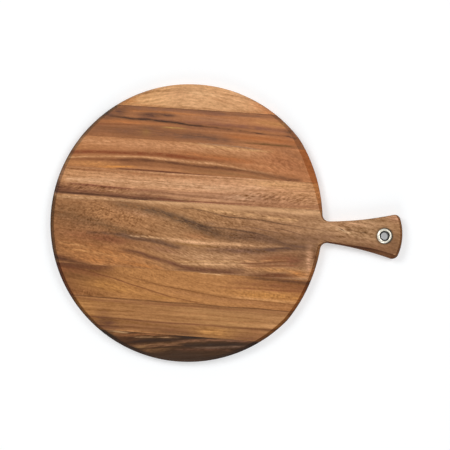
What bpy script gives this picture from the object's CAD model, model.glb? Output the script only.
"""Round serving board with a handle: the looks of its staves, glue lines, eyelet and washer.

Lengths are millimetres in the part's own frame, and the room's are metres. The origin is the middle of the
round on the underside, +X runs along the grain and the handle, +Y across the staves and +Z up. Far means
towards +Y and near towards -Y. The meshes are in metres.
"""
import math

import bpy
import numpy as np
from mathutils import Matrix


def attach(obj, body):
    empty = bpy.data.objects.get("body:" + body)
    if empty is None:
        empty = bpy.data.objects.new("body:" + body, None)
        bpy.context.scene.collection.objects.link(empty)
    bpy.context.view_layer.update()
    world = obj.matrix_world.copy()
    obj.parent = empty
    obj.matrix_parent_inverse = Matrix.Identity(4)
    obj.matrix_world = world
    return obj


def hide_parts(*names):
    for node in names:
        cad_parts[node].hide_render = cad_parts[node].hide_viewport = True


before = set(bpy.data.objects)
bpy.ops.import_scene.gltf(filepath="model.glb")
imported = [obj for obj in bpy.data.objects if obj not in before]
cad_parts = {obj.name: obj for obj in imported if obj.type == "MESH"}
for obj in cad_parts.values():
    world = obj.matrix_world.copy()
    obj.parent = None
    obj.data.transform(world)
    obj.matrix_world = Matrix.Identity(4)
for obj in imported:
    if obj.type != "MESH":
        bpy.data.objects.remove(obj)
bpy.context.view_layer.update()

MM = 0.001

# Outline in plan: the round, 0.025 less in radius than the solids' so that the mesh stays inside their box
BOARD_T = 16.0
HEAD_R = 177.975
# Shoulder beside the handle, the soft kink where it leaves the round, and the hollow at the neck
SHOULDER_C, SHOULDER_R = np.array((-29.0, 0.0)), 201.0
KINK_R = 60.0
NECK_R = 8.5
# The handle's hollow side, its end and its corners
SIDE_C, SIDE_R = np.array((150.0, 422.6)), 410.0
END_C, END_R = np.array((206.0, 0.0)), 67.0
CORNER_R = 7.4
OUTLINE_STEP = 0.2

# Edge section: the rounding below, the nose, the deepest bevel, and a strip of flat face inside it
UNDER_R = 2.5
NOSE_R = 1.5
BEVEL_DROP = 4.6
FLAT_MARGIN = 0.5
UNDER_ROWS, NOSE_ROWS, SANDED_ROWS = 7, 7, 6
# A slim bevel drops by this share of its width
SLIM_DROP = 0.95
# Where the handle's side, its end, the far shoulder and the crisply sanded edge begin
HANDLE_X, END_X, SHOULDER_X, SHOULDER_Y, CRISP_X = 172, 266, 60, 18, 150
END_BEVEL, CRISP_SANDED = 3.0, 0.9
# Number of outline points over which the hand-sanded widths are averaged
SANDING_POINTS = 61

# Seams as height at the middle of the board and slant in degrees, from the far rim to the near rim
SEAMS = [
    (144.793, 0), (102.684, 0), (61.175, 0), (24.868, 0.75), (-63.018, 0), (-104.512, 0), (-144.505, 0),
]
GLUE_HALF = 0.075

# The eyelet's axis, its hole through the wood, and the washer's recess in the underside
EYELET_X = 250.5
EYE = np.array((EYELET_X, 0.0))
HOLE_R, RECESS_R, SEAT_Z = 5.612, 8.65, 2.6
HOLE_RINGS_Z = (12.0, 5.6)
# The eyelet's pressed sheet: its domed flange, its barrel and its rolled lip
SHEET_T = 0.5
FLANGE_C, FLANGE_R = (7.455, 14.945), 2.755
BARREL_R, BARREL_HIGH, BARREL_LOW = 4.7, 10.0, 5.0
LIP_C, LIP_R = (6.2, 1.9), 1.5
# The washer's radii, heights and eased edges
WASHER_IN_R, WASHER_OUT_R, WASHER_LOW, WASHER_HIGH, WASHER_EASE = 5.35, 8.5, 1.9, 2.6, 0.12

# Faces of each shell, along the grain and across it, and how far they are drawn towards a seam's ends
STAVE_FACES, RIM_STAVE_FACES, FILM_FACES = (56, 36), (90, 20), (56, 2)
SEAM_DRAW, HANDLE_SEAM_DRAW = 0.6, 0.3
# Share of the rim's arc that stands for a short side of a rim stave
SHORT_SIDE = 0.16
# Where the column across the handle stands on the handle's side, and the number of rings beyond it
COLUMN_SHARE, EYE_RINGS = 0.42, 8


def heading(v):
    """Angle of a plan vector from +X."""
    return math.atan2(v[1], v[0])


def crossing(c1, r1, c2, r2):
    """Point where two circles cross, on the right of the way from the first centre to the second."""
    d = np.hypot(*(c2 - c1))
    u = (c2 - c1) / d
    along = (d * d + r1 * r1 - r2 * r2) / (2 * d)
    return c1 + along * u + math.sqrt(r1 * r1 - along * along) * np.array((u[1], -u[0]))


def outline_arcs():
    """The outline's +Y half from the handle's tip to the far left, as arcs: centre, radius, first and last
    heading, and 1 where the arc bulges outwards or -1 where it is hollow."""
    middle = np.zeros(2)
    neck_c = crossing(SHOULDER_C, SHOULDER_R + NECK_R, SIDE_C, SIDE_R - NECK_R)
    corner_c = crossing(END_C, END_R - CORNER_R, SIDE_C, SIDE_R + CORNER_R)
    kink_c = crossing(middle, HEAD_R - KINK_R, SHOULDER_C, SHOULDER_R - KINK_R)
    return [
        (END_C, END_R, 0, heading(corner_c - END_C), 1),
        (corner_c, CORNER_R, heading(corner_c - END_C), heading(SIDE_C - corner_c), 1),
        (SIDE_C, SIDE_R, heading(corner_c - SIDE_C), heading(neck_c - SIDE_C), -1),
        (neck_c, NECK_R, heading(neck_c - SIDE_C), heading(SHOULDER_C - neck_c), -1),
        (SHOULDER_C, SHOULDER_R, heading(neck_c - SHOULDER_C), heading(kink_c - SHOULDER_C), 1),
        (kink_c, KINK_R, heading(kink_c - SHOULDER_C), heading(kink_c), 1),
        (middle, HEAD_R, heading(kink_c), math.pi, 1),
    ]


def walk_outline():
    """Close points round the whole outline, counter-clockwise from the handle's tip: each arc is its centre
    plus its radius times the ray at evenly spaced headings, and the -Y half is the mirrored half walked
    back. Returns points, inward normals, distance walked, length of a lap, and the distance at each arc's
    end."""
    points, normals, ends = [], [], []
    walked = 0.0
    for centre, radius, start, stop, bulge in outline_arcs():
        span = abs(stop - start) * radius
        a = np.linspace(start, stop, int(span / OUTLINE_STEP) + 3)[1 if points else 0:]
        ray = np.stack((np.cos(a), np.sin(a)), 1)
        points.append(centre + radius * ray)
        normals.append(-bulge * ray)
        walked += span
        ends.append(walked)
    half_p, half_n = np.concatenate(points), np.concatenate(normals)
    mirror = np.array((1, -1))
    p = np.concatenate((half_p, half_p[-2:0:-1] * mirror))
    n = np.concatenate((half_n, half_n[-2:0:-1] * mirror))
    step = np.hypot(*(np.roll(p, -1, 0) - p).T)
    t = np.concatenate(([0.0], np.cumsum(step)[:-1]))
    return p, n, t, step.sum(), ends


def bevel_along(p):
    """Width and drop of the bevel at each outline point, and the radius of the sanded arc at its upper
    edge: hand-sanded, so widest along the +Y shoulder, soft at the left, slim at the neck, wider again
    towards the handle's -Y corner, and averaged over a short walk."""
    x, y = p.T
    turn = np.degrees(np.arctan2(y, x)) % 360
    rim = np.interp(turn, (50, 75, 110, 135, 155, 180, 210, 240, 270, 300, 315, 340),
                    (4.8, 3.8, 3.8, 4.6, 5.2, 5.2, 5.0, 4.6, 4.6, 4.6, 4.4, 4.2))
    shoulder = np.interp(y, (20, 30, 45, 60, 72, 90, 112, 128), (2.0, 4.2, 5.8, 7.0, 8.6, 8.7, 8.0, 4.8))
    near_side = np.interp(x, (176, 200, 212, 222, 240, 262), (1.6, 1.8, 2.6, 3.6, 5.0, 6.0))
    far_side = np.interp(x, (176, 190, 255, 268), (1.6, 1.3, 1.4, 2.4))
    handle = np.where(y < 0, near_side, far_side)
    round_edge = np.where((x > SHOULDER_X) & (y > SHOULDER_Y), shoulder, rim)
    width = np.where(x > HANDLE_X, handle, round_edge)
    width = np.where(x > END_X, END_BEVEL, width)
    soft = np.interp(turn, (60, 115, 145, 235, 275, 320), (0.9, 2.0, 3.6, 3.6, 2.5, 0.9))
    sanded = np.where(x > CRISP_X, CRISP_SANDED, soft)
    window = np.hanning(SANDING_POINTS)
    window /= window.sum()
    pad = SANDING_POINTS // 2
    width, sanded = (np.convolve(np.concatenate((v[-pad:], v, v[:pad])), window, "valid")
                     for v in (width, sanded))
    return width, np.minimum(BEVEL_DROP, SLIM_DROP * width), sanded


def edge_levels(width, drop, sanded):
    """Edge section from the underside to the upper face as rows of inset and height: a quarter round, an
    upright wall, a nose arc that turns by a right angle less the bevel's lean, the bevel, and the sanded
    arc."""
    lean = np.arctan2(drop, width)
    turn = math.pi / 2 - lean
    nose_z = BOARD_T - drop - NOSE_R * np.tan(turn / 2)
    reach = sanded * np.tan(lean / 2)
    flat = np.zeros_like(width)
    rows = [(flat + UNDER_R + FLAT_MARGIN, flat)]
    rows += [(flat + UNDER_R * (1 - math.sin(a)), flat + UNDER_R * (1 - math.cos(a)))
             for a in np.linspace(0, math.pi / 2, UNDER_ROWS)]
    rows += [(flat, (UNDER_R + nose_z) / 2)]
    rows += [(NOSE_R * (1 - np.cos(turn * s)), nose_z + NOSE_R * np.sin(turn * s))
             for s in np.linspace(0, 1, NOSE_ROWS)]
    rows += [(width + reach - sanded * np.sin(lean * s), BOARD_T - sanded * (1 - np.cos(lean * s)))
             for s in np.linspace(1, 0, SANDED_ROWS)]
    rows += [(width + reach + FLAT_MARGIN, flat + BOARD_T)]
    inset, z = zip(*rows)
    return np.array(inset), np.array(z)


OUTLINE, INWARD, WALK, LAP, ARC_ENDS = walk_outline()
INSET, LEVEL_Z = edge_levels(*bevel_along(OUTLINE))
LEVELS = len(INSET)
# Every level's outline over two laps, as the base outline moved inwards along its normals
LEVEL_X = np.tile(OUTLINE[:, 0] + INWARD[:, 0] * INSET, 2)
LEVEL_Y = np.tile(OUTLINE[:, 1] + INWARD[:, 1] * INSET, 2)
LEVEL_H = np.tile(LEVEL_Z, 2)
LAP_WALK = np.concatenate((WALK, WALK + LAP))
# Distance walked to where the handle's end, corner, side and neck stop, and to the far rim
END_STOP, CORNER_STOP, SIDE_STOP, NECK_STOP = ARC_ENDS[:4]
TOP_WALK = WALK[OUTLINE[:, 1].argmax()]


def seam_face(i, side):
    """One face of the glue film in seam i as height at the middle and slope, side 1 above and -1 below."""
    y, slant = SEAMS[i - 1]
    return y + side * GLUE_HALF, math.tan(math.radians(slant))


def meets(face, first, last):
    """Distance walked at which each level's outline crosses a seam face between two places: the height
    above the face changes sign between two neighbouring points, and the place is interpolated there."""
    y, slope = face
    span = np.flatnonzero((LAP_WALK >= first) & (LAP_WALK <= last))
    gap = LEVEL_Y[:, span] - y - slope * LEVEL_X[:, span]
    i = np.argmax(np.signbit(gap[:, 1:]) != np.signbit(gap[:, :-1]), axis=1)
    k = np.arange(LEVELS)
    a, b = gap[k, i], gap[k, i + 1]
    t = LAP_WALK[span]
    return t[i] + (t[i + 1] - t[i]) * a / (a - b)


def meets_right(face):
    """Crossing of a seam face with the right-hand rim, between the neck and the far or the near rim."""
    if face[0] > 0:
        return meets(face, NECK_STOP, TOP_WALK)
    return meets(face, LAP - TOP_WALK, LAP - NECK_STOP)


def meets_left(face):
    """Crossing of a seam face with the left-hand rim."""
    return meets(face, TOP_WALK, LAP - TOP_WALK)


def rim(first, last, share):
    """Points of every level's outline between two distances walked, spread by shares from 0 to 1."""
    first, last = np.broadcast_to(first, LEVELS), np.broadcast_to(last, LEVELS)
    t = first[:, None] + np.multiply.outer(last - first, share)
    rows = [np.stack([np.interp(t[k], LAP_WALK, axis[k]) for axis in (LEVEL_X, LEVEL_Y, LEVEL_H)], 1)
            for k in range(LEVELS)]
    return np.stack(rows)


def straight(a, b, share):
    """Points on the line from a to b on every level, spread by shares from 0 to 1."""
    return a[:, None] + (b - a)[:, None] * share[None, :, None]


def shares(n, draw=0.0):
    """n + 1 shares from 0 to 1, drawn towards both ends by a sine of the given size."""
    s = np.linspace(0, 1, n + 1)
    return s - draw * np.sin(2 * math.pi * s) / (2 * math.pi)


class Shell:
    """Blocks of points and the skins between them, gathered into one closed mesh."""

    def __init__(self):
        self.blocks, self.count, self.faces = [], 0, []

    def add(self, points):
        """Keeps a grid of points and returns the grid of their numbers."""
        points = np.asarray(points, float)
        numbers = self.count + np.arange(points[..., 0].size).reshape(points.shape[:-1])
        self.blocks.append(points.reshape(-1, 3))
        self.count += numbers.size
        return numbers

    def skin(self, grid, flip=False):
        """Covers a grid of numbers with four-sided faces between neighbouring rows and columns."""
        a, b, c, d = grid[:-1, :-1], grid[:-1, 1:], grid[1:, 1:], grid[1:, :-1]
        quads = np.stack((a, d, c, b) if flip else (a, b, c, d), -1)
        self.faces.append(quads.reshape(-1, 4))

    def points(self):
        """All points in the order of their numbers."""
        return np.concatenate(self.blocks)

    def quads(self):
        """All faces, turned round if the volume under them, a sum of signed wedges, comes out negative."""
        p, f = self.points(), np.concatenate(self.faces)
        a, b, c, d = (p[f[:, i]] for i in range(4))
        wedges = np.einsum("ij,ij->i", a, np.cross(b, c)) + np.einsum("ij,ij->i", a, np.cross(c, d))
        return f[:, ::-1] if wedges.sum() < 0 else f


def ring(numbers):
    """A loop of numbers with its first column repeated at the end, so that its skin closes."""
    return np.concatenate((numbers, numbers[..., :1]), -1)


def coons(low, right, high, left):
    """Inner points of a patch between four sides: the two blends of opposite sides added, less the blend of
    the corners. low and high run left to right, left and right run from low to high."""
    u = np.linspace(0, 1, len(low))[None, :, None]
    v = np.linspace(0, 1, len(left))[:, None, None]
    low_corners = (1 - u) * (1 - v) * low[0] + u * (1 - v) * low[-1]
    corners = low_corners + (1 - u) * v * high[0] + u * v * high[-1]
    patch = (1 - v) * low + v * high + (1 - u) * left[:, None] + u * right[:, None] - corners
    return patch[1:-1, 1:-1]


def cap(shell, loop, loop_numbers, n_u, n_v, flip):
    """Closes a loop of four sides with a patch that shares the loop's points."""
    low, right = np.arange(n_u + 1), n_u + np.arange(n_v + 1)
    high = 2 * n_u + n_v - np.arange(n_u + 1)
    left = (2 * n_u + 2 * n_v - np.arange(n_v + 1)) % len(loop)
    grid = np.zeros((n_v + 1, n_u + 1), int)
    grid[1:-1, 1:-1] = shell.add(coons(loop[low], loop[right], loop[high], loop[left]))
    grid[0], grid[-1] = loop_numbers[low], loop_numbers[high]
    grid[:, 0], grid[:, -1] = loop_numbers[left], loop_numbers[right]
    shell.skin(grid, flip)


def lofted(loops, n_u, n_v):
    """Solid of loops stacked from the underside to the upper face, with a cap on each end."""
    shell = Shell()
    numbers = shell.add(loops)
    shell.skin(ring(numbers))
    cap(shell, loops[-1], numbers[-1], n_u, n_v, False)
    cap(shell, loops[0], numbers[0], n_u, n_v, True)
    return shell


def four_sided(lower, upper, n_u, n_v):
    """Stave or glue film between two seam faces: on every level the lower seam, the right rim, the upper
    seam and the left rim form one loop, the loops are skinned, and the first and last are closed by
    caps."""
    across, along = shares(n_v), shares(n_u, SEAM_DRAW)
    right = rim(meets_right(lower), meets_right(upper), across)
    left = rim(meets_left(upper), meets_left(lower), across)
    low = straight(left[:, -1], right[:, 0], along)
    high = straight(right[:, -1], left[:, 0], along)
    loops = np.concatenate((low[:, :-1], right[:, :-1], high[:, :-1], left[:, :-1]), 1)
    return lofted(loops, n_u, n_v)


def rim_stave(face, n_u, n_v):
    """Stave at the far or the near rim: the seam is one side and the rim's arc gives the other three."""
    start, stop = meets_right(face), meets_left(face)
    if face[0] < 0:
        start, stop = stop, start
    arc_share = np.concatenate((np.linspace(0, SHORT_SIDE, n_v + 1)[:-1],
                                np.linspace(SHORT_SIDE, 1 - SHORT_SIDE, n_u + 1)[:-1],
                                np.linspace(1 - SHORT_SIDE, 1, n_v + 1)))
    arc = rim(start, stop, arc_share)
    seam = straight(arc[:, -1], arc[:, 0], shares(n_u, SEAM_DRAW))
    return lofted(np.concatenate((seam[:, :-1], arc[:, :-1]), 1), n_u, n_v)


def handle_cap(shell, loop, numbers, columns, beyond, n_left, radius, flip):
    """Closes one face of the handle's stave: a patch from the left rim up to a column across the handle,
    and beyond it rings that shrink in even steps from the handle's outline to a circle of the given radius
    round the eyelet. Returns the circle's numbers and its rays from the eyelet's axis."""
    low = np.arange(columns + 1)
    high = (2 * columns + beyond - low) % len(loop)
    left = (len(loop) - np.arange(n_left + 1)) % len(loop)
    v = np.linspace(0, 1, n_left + 1)[:, None]
    across = (1 - v) * loop[columns] + v * loop[columns + beyond]
    grid = np.zeros((n_left + 1, columns + 1), int)
    grid[1:-1, 1:-1] = shell.add(coons(loop[low], across, loop[high], loop[left]))
    grid[0], grid[-1], grid[:, 0] = numbers[low], numbers[high], numbers[left]
    grid[1:-1, -1] = shell.add(across[1:-1])
    shell.skin(grid, flip)
    outer = np.concatenate((loop[columns:columns + beyond + 1], across[-2:0:-1]))
    outer_numbers = np.concatenate((numbers[columns:columns + beyond + 1], grid[-2:0:-1, -1]))
    ray = outer[:, :2] - EYE
    ray = ray / np.hypot(*ray.T)[:, None]
    inner = np.concatenate((EYE + radius * ray, outer[:, 2:]), 1)
    s = np.linspace(0, 1, EYE_RINGS + 1)[1:, None, None]
    rings = shell.add((1 - s) * outer + s * inner)
    shell.skin(ring(np.concatenate((outer_numbers[None], rings))), flip)
    return rings[-1], ray


def add_hole(shell, upper, lower):
    """Wall of the eyelet's hole and of the washer's recess: rings of given radius and height between the
    circles in the upper face and the underside, on rays that turn evenly from the one's to the other's."""
    (upper_numbers, upper_ray), (lower_numbers, lower_ray) = upper, lower
    wall = [(HOLE_R, z) for z in HOLE_RINGS_Z] + [(HOLE_R, SEAT_Z), (RECESS_R, SEAT_Z)]
    s = np.linspace(0, 1, len(wall) + 2)[1:-1, None, None]
    rays = (1 - s) * upper_ray + s * lower_ray
    rays = rays / np.linalg.norm(rays, axis=2, keepdims=True)
    radius, height = (np.array(c)[:, None, None] for c in zip(*wall))
    rings = np.concatenate((EYE + radius * rays, np.broadcast_to(height, rays.shape[:2] + (1,))), 2)
    shell.skin(ring(np.concatenate((upper_numbers[None], shell.add(rings), lower_numbers[None]))))


def handle_stave():
    """The wide stave with the handle. Its loops are stacked as the others' are, with the rim walked from
    the lower seam round the handle to the upper seam, and each of its two faces leaves a circle open for
    the eyelet."""
    n_seam, n_shoulder, n_neck, n_root, n_side, n_corner, n_end, n_left = 56, 14, 12, 14, 12, 12, 14, 24
    column = CORNER_STOP + COLUMN_SHARE * (SIDE_STOP - CORNER_STOP)
    lower, upper = seam_face(5, 1), seam_face(4, -1)
    half_lap = [END_STOP, CORNER_STOP, column, SIDE_STOP, NECK_STOP]
    stops = [meets_right(lower)] + [LAP - t for t in half_lap[::-1]] + [LAP]
    stops += [LAP + t for t in half_lap] + [LAP + meets_right(upper)]
    half_counts = [n_end, n_corner, n_side, n_root, n_neck, n_shoulder]
    counts = half_counts[::-1] + half_counts
    walk = [rim(a, b, shares(n))[:, :-1] for a, b, n in zip(stops, stops[1:], counts)]
    last = rim(stops[-1], stops[-1], np.zeros(1))
    left = rim(meets_left(upper), meets_left(lower), shares(n_left))
    along = shares(n_seam, HANDLE_SEAM_DRAW)
    low = straight(left[:, -1], walk[0][:, 0], along)
    high = straight(last[:, 0], left[:, 0], along)
    loops = np.concatenate([low[:, :-1]] + walk + [high[:, :-1], left[:, :-1]], 1)
    columns = n_seam + n_shoulder + n_neck + n_root
    beyond = 2 * (n_side + n_corner + n_end)
    shell = Shell()
    numbers = shell.add(loops)
    shell.skin(ring(numbers))
    circles = [handle_cap(shell, loops[level], numbers[level], columns, beyond, n_left, radius, flip)
               for level, radius, flip in ((-1, HOLE_R, False), (0, RECESS_R, True))]
    add_hole(shell, *circles)
    return shell


def revolved(profile, turns=128):
    """Closed section of radius and height carried round the eyelet's axis: each point becomes a circle."""
    a = np.linspace(0, 2 * math.pi, turns, endpoint=False)[None, :]
    r, z = (np.asarray(c, float)[:, None] for c in np.transpose(profile))
    shell = Shell()
    numbers = shell.add(np.stack((EYELET_X + r * np.cos(a), r * np.sin(a), z + 0 * a), -1))
    shell.skin(ring(np.concatenate((numbers, numbers[:1]))))
    return shell


def bend(centre, radius, first, last, n):
    """Points of a bend in the eyelet's section, from one heading to another in degrees."""
    a = np.radians(np.linspace(first, last, n))
    return np.stack((centre[0] + radius * np.cos(a), centre[1] + radius * np.sin(a)), 1)


def eyelet_section():
    """Section of the pressed sheet: over the domed flange, down the bore, round the rolled lip, and back
    along the sheet's other face to the flange's foot. A foot's heading is the arc sine of its height over
    the radius."""
    back_r = BARREL_R + SHEET_T
    height = BOARD_T - FLANGE_C[1]
    foot, back_foot = (math.degrees(math.asin(height / r)) for r in (FLANGE_R, FLANGE_R - SHEET_T))
    return np.concatenate((
        bend(FLANGE_C, FLANGE_R, foot, 180, 40),
        [(BARREL_R, BARREL_HIGH), (BARREL_R, BARREL_LOW)],
        bend(LIP_C, LIP_R, 180, 360, 20),
        bend(LIP_C, LIP_R - SHEET_T, 360, 180, 14),
        [(back_r, BARREL_LOW), (back_r, BARREL_HIGH)],
        bend(FLANGE_C, FLANGE_R - SHEET_T, 180, back_foot, 24),
    ))


def washer_section():
    """Section of the flat washer, with its four edges eased."""
    r0, r1, z0, z1, ease = WASHER_IN_R, WASHER_OUT_R, WASHER_LOW, WASHER_HIGH, WASHER_EASE
    return [(r0 + ease, z0), (r1 - ease, z0), (r1, z0 + ease), (r1, z1 - ease),
            (r1 - ease, z1), (r0 + ease, z1), (r0, z1 - ease), (r0, z0 + ease)]


def piece(name, shell, material, node, slot, crease=32):
    """Mesh object of a shell in metres, smooth but for creases, riding on the board in place of its CAD
    node."""
    mesh = bpy.data.meshes.new(name)
    mesh.from_pydata((shell.points() * MM).tolist(), [], shell.quads().tolist())
    mesh.materials.append(material)
    mesh.shade_smooth()
    mesh.set_sharp_from_angle(angle=math.radians(crease))
    mesh.update()
    made = bpy.data.objects.new(name, mesh)
    bpy.context.scene.collection.objects.link(made)
    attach(made, "root")
    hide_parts(node)


def linear(rgb):
    """Colour as a screen shows it, 0 to 255, as the linear values that shaders take."""
    c = np.asarray(rgb, float) / 255
    return np.where(c <= 0.04045, c / 12.92, ((c + 0.055) / 1.055) ** 2.4)


def rgba(rgb):
    """The same colour with full opacity."""
    return (*linear(rgb), 1.0)


# How far a seed of 1 moves a noise along each axis, in lumps
SEED_STEP = (37.7, 11.3, 5.9)


class Nodes:
    """The nodes of a material or of the room. Most calls make one node and return its first output."""

    def __init__(self, owner):
        owner.use_nodes = True
        self.tree = owner.node_tree
        self.tree.nodes.clear()

    def feed(self, socket, value):
        """Links an output to a socket, or sets a plain value on it."""
        if isinstance(value, bpy.types.NodeSocket):
            self.tree.links.new(value, socket)
        else:
            socket.default_value = value

    def node(self, kind, *values, **settings):
        """A new node with its settings, whose first sockets take the values in order."""
        made = self.tree.nodes.new(kind)
        for key, value in settings.items():
            setattr(made, key, value)
        for socket, value in zip(made.inputs, values):
            self.feed(socket, value)
        return made

    def math(self, operation, *values, clamp=False):
        """One sum, product or the like of single values."""
        return self.node("ShaderNodeMath", *values, operation=operation, use_clamp=clamp).outputs[0]

    def vector(self, operation, *values):
        """The same for places and colours."""
        return self.node("ShaderNodeVectorMath", *values, operation=operation).outputs[0]

    def joined(self, x, y, z):
        """Three values as one place."""
        return self.node("ShaderNodeCombineXYZ", x, y, z).outputs[0]

    def between(self, value, low, high, to_low=0.0, to_high=1.0):
        """A value carried evenly from the span low to high onto the span to_low to to_high, and held at its
        ends."""
        return self.node("ShaderNodeMapRange", value, low, high, to_low, to_high, clamp=True).outputs[0]

    def shader(self, kind, *values):
        """A shader whose first sockets take the values in order."""
        return self.node("ShaderNode" + kind, *values).outputs[0]


class Finish(Nodes):
    """A material's nodes, with places in millimetres on Object coordinates: place, its parts x, y and z,
    how far the surface faces along the grain either way (ends_on), towards the far rim (far) and upwards
    (up)."""

    def __init__(self, name):
        self.material = bpy.data.materials.new(name)
        super().__init__(self.material)
        scaled = self.node("ShaderNodeVectorMath", operation="SCALE")
        self.feed(scaled.inputs["Vector"], self.node("ShaderNodeTexCoord").outputs["Object"])
        self.feed(scaled.inputs["Scale"], 1 / MM)
        self.place = scaled.outputs[0]
        self.x, self.y, self.z = self.node("ShaderNodeSeparateXYZ", self.place).outputs
        normal = self.node("ShaderNodeNewGeometry").outputs["Normal"]
        along, self.far, self.up = self.node("ShaderNodeSeparateXYZ", normal).outputs
        self.ends_on = self.math("ABSOLUTE", along)

    def off_axis(self, x):
        """Distance in plan from an upright axis at x on the handle's middle line."""
        off = self.math("SUBTRACT", self.x, x)
        return self.math("SQRT", self.math("MULTIPLY_ADD", off, off, self.math("MULTIPLY", self.y, self.y)))

    def noise(self, place, size, seed, tilt=0.0, detail=2.0, rough=0.55):
        """Noise whose lumps are size millimetres along each axis, turned by tilt degrees in plan, with a
        seed of its own."""
        turned = self.node("ShaderNodeMapping", place, vector_type="TEXTURE")
        turned.inputs["Location"].default_value = [seed * step for step in SEED_STEP]
        turned.inputs["Rotation"].default_value = (0, 0, math.radians(tilt))
        turned.inputs["Scale"].default_value = size
        made = self.node("ShaderNodeTexNoise", turned.outputs[0])
        made.inputs["Scale"].default_value = 1.0
        made.inputs["Detail"].default_value = detail
        made.inputs["Roughness"].default_value = rough
        return made.outputs[0]

    def mix(self, share, a, b):
        """Colour a with a share of colour b in it."""
        made = self.node("ShaderNodeMix", share, data_type="RGBA", clamp_factor=True)
        self.feed(made.inputs[6], a)
        self.feed(made.inputs[7], b)
        return made.outputs[2]

    def curve(self, value, points):
        """Smooth curve through points whose two numbers both lie between 0 and 1."""
        made = self.node("ShaderNodeFloatCurve")
        self.feed(made.inputs["Value"], value)
        made.mapping.extend = "HORIZONTAL"
        line = made.mapping.curves[0]
        for i, (a, b) in enumerate(points):
            p = line.points[i] if i < 2 else line.points.new(a, b)
            p.location = (a, b)
            p.handle_type = "AUTO_CLAMPED"
        made.mapping.update()
        return made.outputs[0]

    def ramp(self, value, stops):
        """Colours at places between 0 and 1 along a value."""
        made = self.node("ShaderNodeValToRGB", value)
        made.color_ramp.interpolation = "EASE"
        elements = made.color_ramp.elements
        for i, (at, tone) in enumerate(stops):
            e = elements[i] if i < 2 else elements.new(at)
            e.position, e.color = at, rgba(tone)
        return made.outputs[0]

    def finish(self, colour, roughness, height, depth, **settings):
        """Ends the tree in a shader with a fine relief of the given depth in millimetres."""
        relief = self.node("ShaderNodeBump")
        relief.inputs["Strength"].default_value = 1.0
        relief.inputs["Distance"].default_value = depth * MM
        self.feed(relief.inputs["Height"], height)
        shader = self.node("ShaderNodeBsdfPrincipled")
        self.feed(shader.inputs["Base Color"], colour)
        self.feed(shader.inputs["Roughness"], roughness)
        self.feed(shader.inputs["Normal"], relief.outputs[0])
        for key, value in settings.items():
            shader.inputs[key.replace("_", " ")].default_value = value
        self.node("ShaderNodeOutputMaterial", shader.outputs[0])
        return self.material


# Range of the curves: along the grain from X_LOW over X_SPAN, across it from Y_LOW over Y_SPAN
X_LOW, X_SPAN, Y_LOW, Y_SPAN = -190.0, 480.0, -190.0, 380.0

# Size of the wood's noises along the grain, across it and down: the slow sway and the quick waver of the
# grain, its broad bands, lines, fibres, pepper, pores and end grain, and the depth of its flecks
SWAY_SIZE, WAVER_SIZE = (48, 16, 20), (6.5, 2.6, 5)
BROAD_SIZE, LINES_SIZE, FIBRE_SIZE = (150, 5.0, 25), (110, 2.2, 14), (15, 1.4, 6)
PEPPER_SIZE, PORE_SIZE, END_GRAIN_SIZE = (3.4, 1.9, 2), (3.2, 0.3, 1.2), (40, 1.6, 1.0)
FLECK_DEPTH, CURL_DEPTH = 3, 8
# How far the grain sways and wavers
SWAY, WAVER = 2.2, 1.6
# What breaks up the marks: the flecks' share in it, its range, and a blot's factor and least share
RAGGED_FLECK, RAGGED_RANGE, BLOT_RAG, BLOT_LEAST = 0.7, (0.62, 1.08), 1.1, 0.45
# Noise at which pores begin and are full, range of the fibres, and the roughness at its two ends
PORE_RANGE, FIBRE_RANGE, ROUGH_RANGE = (0.60, 0.72), (0.3, 0.7), (0.64, 0.48)
# How strongly a fleck changes red, green and blue: dark flecks come out redder and pale ones paler
FLECK_RGB = (0.86, 1.0, 1.2)
# Pores: their tone where a stave gives none, their share of the colour and their depth in the relief
PORE_TONE, PORE_SHARE, PORE_DEPTH = (92, 58, 38), 0.30, 0.8
# What is left of the colour at the burnished nose, the handle's stained edge and the eyelet's grime
NOSE_TINT, STAIN_TINT, GRIME_TINT = (0.24, 0.22, 0.21, 1), (0.32, 0.21, 0.12, 1), (0.28, 0.30, 0.33, 1)
# End grain: how far a surface faces along the grain, how uneven it is, and where the left tint ends
ENDS_ON, END_GRAIN_RANGE, END_GRAIN_SPREAD, END_TURN_X = (0.1, 0.42), (0.25, 0.75), (1.25, 0.75), (-40, 40)
# Nose: how far it faces upwards towards the bevel and towards the wall, and its share beside end grain
NOSE_FROM_BEVEL, NOSE_FROM_WALL, NOSE_AT_ENDS = (0.74, 0.6), (0.03, 0.25), (0.1, 0.8)
# Rubbed top of the wall: its heights, then its left and near sides, and where it ends at the neck
RUBBED_HIGH, RUBBED_LOW = (13.8, 12.0), (6.5, 11.5)
RUBBED_LEFT, RUBBED_NEAR, RUBBED_NECK = (50, 10), (10, -20), (176, 168)
# Stained edge of the handle: how far it faces the near rim, where it begins, its share beside end grain
STAIN_FACING, STAIN_X, STAIN_AT_ENDS = (-0.15, -0.45), (165, 179), (1.0, 0.2)
# The grime lies a little to the left of the eyelet's axis and fades over these distances from there
GRIME_X, GRIME_FADE, GRIME_SHARE = EYELET_X - 0.2, (13.5, 10.0), (0.0, 0.9)
# Depth of the wood's relief and its gloss
WOOD_RELIEF, WOOD_GLOSS = 0.035, 0.12


def streak(tone, half, path, fade=14, rag=0.6):
    """A line of another tone along the grain: path holds x, y and strength, half is its half width, fade
    the length of its ends, and rag how far the fibres break it up."""
    return "streak", tone, half, path, fade, rag


def blot(tone, x, y, rx, ry, strength, tilt=0.0):
    """A soft patch of another tone: middle, half length, half width, strength and slope."""
    return "blot", tone, (x, y, rx, ry), strength, tilt


def ripple(x, y, rx, ry, amount, size, tilt):
    """A patch of curly figure: middle, half length, half width, amount, size of its waves and their
    turn."""
    return "ripple", (x, y, rx, ry), amount, size, tilt


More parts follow.
